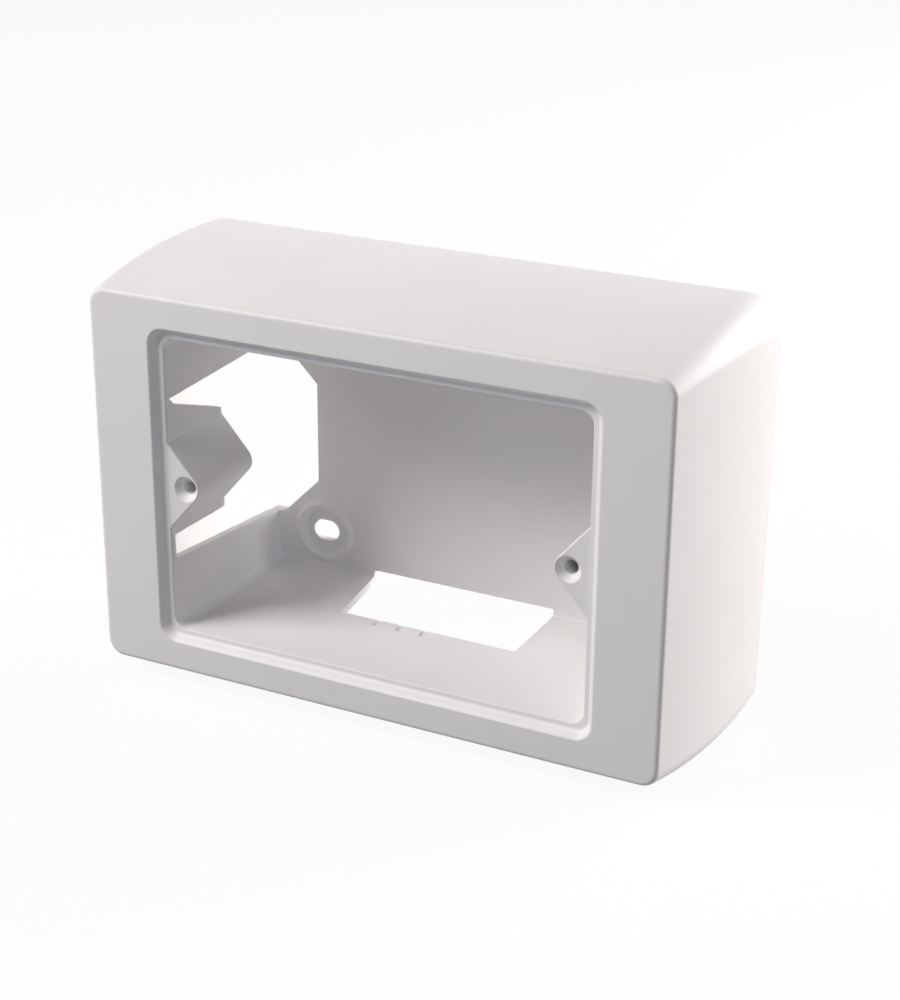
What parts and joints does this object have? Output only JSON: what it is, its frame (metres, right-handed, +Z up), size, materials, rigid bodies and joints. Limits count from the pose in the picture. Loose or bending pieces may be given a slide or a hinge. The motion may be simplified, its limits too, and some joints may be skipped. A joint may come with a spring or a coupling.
{
  "type": "surface mount box",
  "caption": "Moulded surface mount box for a data outlet plate: flared shell, stepped front opening, inner well with device screw bosses, cable cut-outs and slotted wall fixings.",
  "frame": {"origin": "middle of the back of the box, in the wall plane", "axes": "+X along the long side, +Y into the wall with the front face looking along -Y, +Z up"},
  "size_m": [0.1304, 0.045, 0.0876],
  "materials": {
    "moulding": "satin white moulded plastic with a fine even texture"
  },
  "bodies": {
    "root": {"mount_box": "moulding"}
  },
  "joints": []
}
